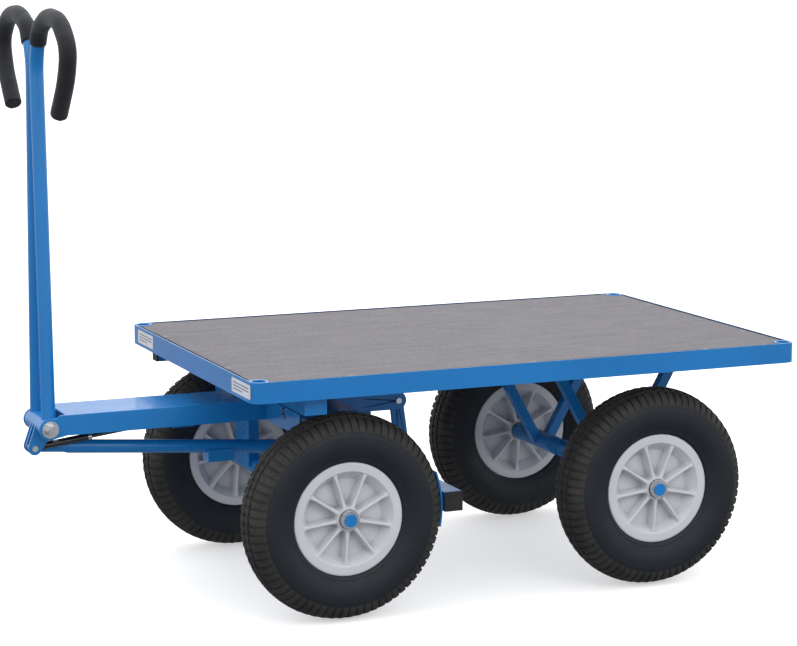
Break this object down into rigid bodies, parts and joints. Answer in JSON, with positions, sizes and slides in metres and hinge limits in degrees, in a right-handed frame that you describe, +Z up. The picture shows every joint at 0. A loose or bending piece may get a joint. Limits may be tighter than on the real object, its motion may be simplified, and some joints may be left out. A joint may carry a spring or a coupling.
{
  "type": "platform trolley",
  "caption": "Flat-bed platform trolley on pneumatic wheels, with turntable steering, a twin-loop drawbar and a brake that acts when the drawbar stands up.",
  "frame": {"origin": "on the floor under the middle of the whole trolley's box", "axes": "+X from the drawbar towards the rear, +Y to the right-hand side seen by someone facing the drawbar end, +Z up"},
  "size_m": [1.492, 0.76, 1.1574],
  "materials": {
    "blue_paint": "glossy powder coat",
    "phenolic_panel": "film-faced plywood with a fine anti-slip texture",
    "zinc_steel": "zinc plated",
    "bronze": "sintered bronze",
    "black_plastic": "moulded, matte",
    "grip_foam": "closed-cell foam rubber",
    "black_enamel": "gloss enamel",
    "tyre_rubber": "matte rubber",
    "rim_plastic": "moulded light grey plastic",
    "bearing_steel": "ground steel"
  },
  "bodies": {
    "platform": {"left_rail": "blue_paint", "right_rail": "blue_paint", "front_rail": "blue_paint", "rear_rail": "blue_paint", "corner_sockets": "blue_paint", "deck_panel": "phenolic_panel", "panel_screws": "zinc_steel", "longitudinal_beams": "blue_paint", "turntable_crossbeams": "blue_paint", "front_stub_tube": "blue_paint", "stub_cap": "black_plastic", "upper_race_plate": "blue_paint", "turntable_bolts": "zinc_steel", "kingpin_bolt": "zinc_steel", "rear_axle": "blue_paint", "rear_braces": "blue_paint", "rear_axle_washers": "zinc_steel", "rear_retaining_caps": "zinc_steel"},
    "bogie": {"tow_neck": "blue_paint", "bolster": "blue_paint", "bolster_screws": "zinc_steel", "lower_race_plate": "blue_paint", "race_balls": "zinc_steel", "kingpin_bush": "bronze", "bogie_legs": "blue_paint", "front_axle": "blue_paint", "front_axle_washers": "zinc_steel", "front_retaining_caps": "zinc_steel", "pivot_bolt": "zinc_steel", "gas_spring_bracket": "blue_paint", "brake_hangers": "blue_paint"},
    "drawbar": {"drawbar_barrel": "blue_paint", "pivot_bushes": "bronze", "lug_pin": "zinc_steel", "drawbar_tube_left": "blue_paint", "drawbar_tube_right": "blue_paint", "grip_left": "grip_foam", "grip_right": "grip_foam"},
    "push_tube_body": {"push_tube": "blue_paint", "rub_block": "blue_paint"},
    "gas_cylinder_body": {"gas_cylinder": "black_enamel", "gas_collar": "zinc_steel"},
    "gas_rod_body": {"gas_rod": "black_enamel"},
    "brake": {"brake_bar": "blue_paint", "brake_bar_caps": "black_plastic", "brake_shoes": "blue_paint", "brake_arms": "blue_paint", "brake_pins": "zinc_steel"},
    "wheel_front_left": {"tyre_front_left": "tyre_rubber", "rim_front_left": "rim_plastic", "bearings_front_left": "bearing_steel"},
    "wheel_front_right": {"tyre_front_right": "tyre_rubber", "rim_front_right": "rim_plastic", "bearings_front_right": "bearing_steel"},
    "wheel_rear_left": {"tyre_rear_left": "tyre_rubber", "rim_rear_left": "rim_plastic", "bearings_rear_left": "bearing_steel"},
    "wheel_rear_right": {"tyre_rear_right": "tyre_rubber", "rim_rear_right": "rim_plastic", "bearings_rear_right": "bearing_steel"}
  },
  "joints": [
    {"name": "steer", "type": "hinge", "parent": "platform", "child": "bogie", "pos_m": [-0.214, 0, 0.39], "axis": [0, 0, 1], "range_deg": [-90, 90]},
    {"name": "drawbar_tilt", "type": "hinge", "parent": "bogie", "child": "drawbar", "pos_m": [-0.711, 0, 0.358], "axis": [0, -1, 0], "range_deg": [0, 80], "stiffness_Nm_per_rad": 15, "springref_deg": -57.3},
    {"name": "push_tube_swing", "type": "hinge", "parent": "drawbar", "child": "push_tube_body", "pos_m": [-0.733, 0, 0.316], "axis": [0, -1, 0], "range_deg": [-84, 0]},
    {"name": "gas_spring_swing", "type": "hinge", "parent": "drawbar", "child": "gas_cylinder_body", "pos_m": [-0.733, 0, 0.316], "axis": [0, -1, 0], "range_deg": [-84, 0]},
    {"name": "gas_rod_slide", "type": "slide", "parent": "gas_cylinder_body", "child": "gas_rod_body", "axis": [-0.9928, 0, -0.1195], "range_m": [0, 0.062]},
    {"name": "brake_swing", "type": "hinge", "parent": "bogie", "child": "brake", "pos_m": [-0.009, 0, 0.37], "axis": [0, -1, 0], "range_deg": [0, 30.5]},
    {"name": "wheel_front_left_spin", "type": "hinge", "parent": "bogie", "child": "wheel_front_left", "pos_m": [-0.214, -0.314, 0.2], "axis": [0, 1, 0], "continuous": true},
    {"name": "wheel_front_right_spin", "type": "hinge", "parent": "bogie", "child": "wheel_front_right", "pos_m": [-0.214, 0.314, 0.2], "axis": [0, 1, 0], "continuous": true},
    {"name": "wheel_rear_left_spin", "type": "hinge", "parent": "platform", "child": "wheel_rear_left", "pos_m": [0.449, -0.314, 0.2], "axis": [0, 1, 0], "continuous": true},
    {"name": "wheel_rear_right_spin", "type": "hinge", "parent": "platform", "child": "wheel_rear_right", "pos_m": [0.449, 0.314, 0.2], "axis": [0, 1, 0], "continuous": true}
  ],
  "couplings": [
    {"joint": "push_tube_swing", "follows": "drawbar_tilt", "ratio": -1.0081},
    {"joint": "gas_spring_swing", "follows": "drawbar_tilt", "ratio": -1.0174},
    {"joint": "gas_rod_slide", "follows": "drawbar_tilt", "m_per_rad": 0.043404},
    {"joint": "brake_swing", "follows": "drawbar_tilt", "ratio": 0.37607}
  ]
}
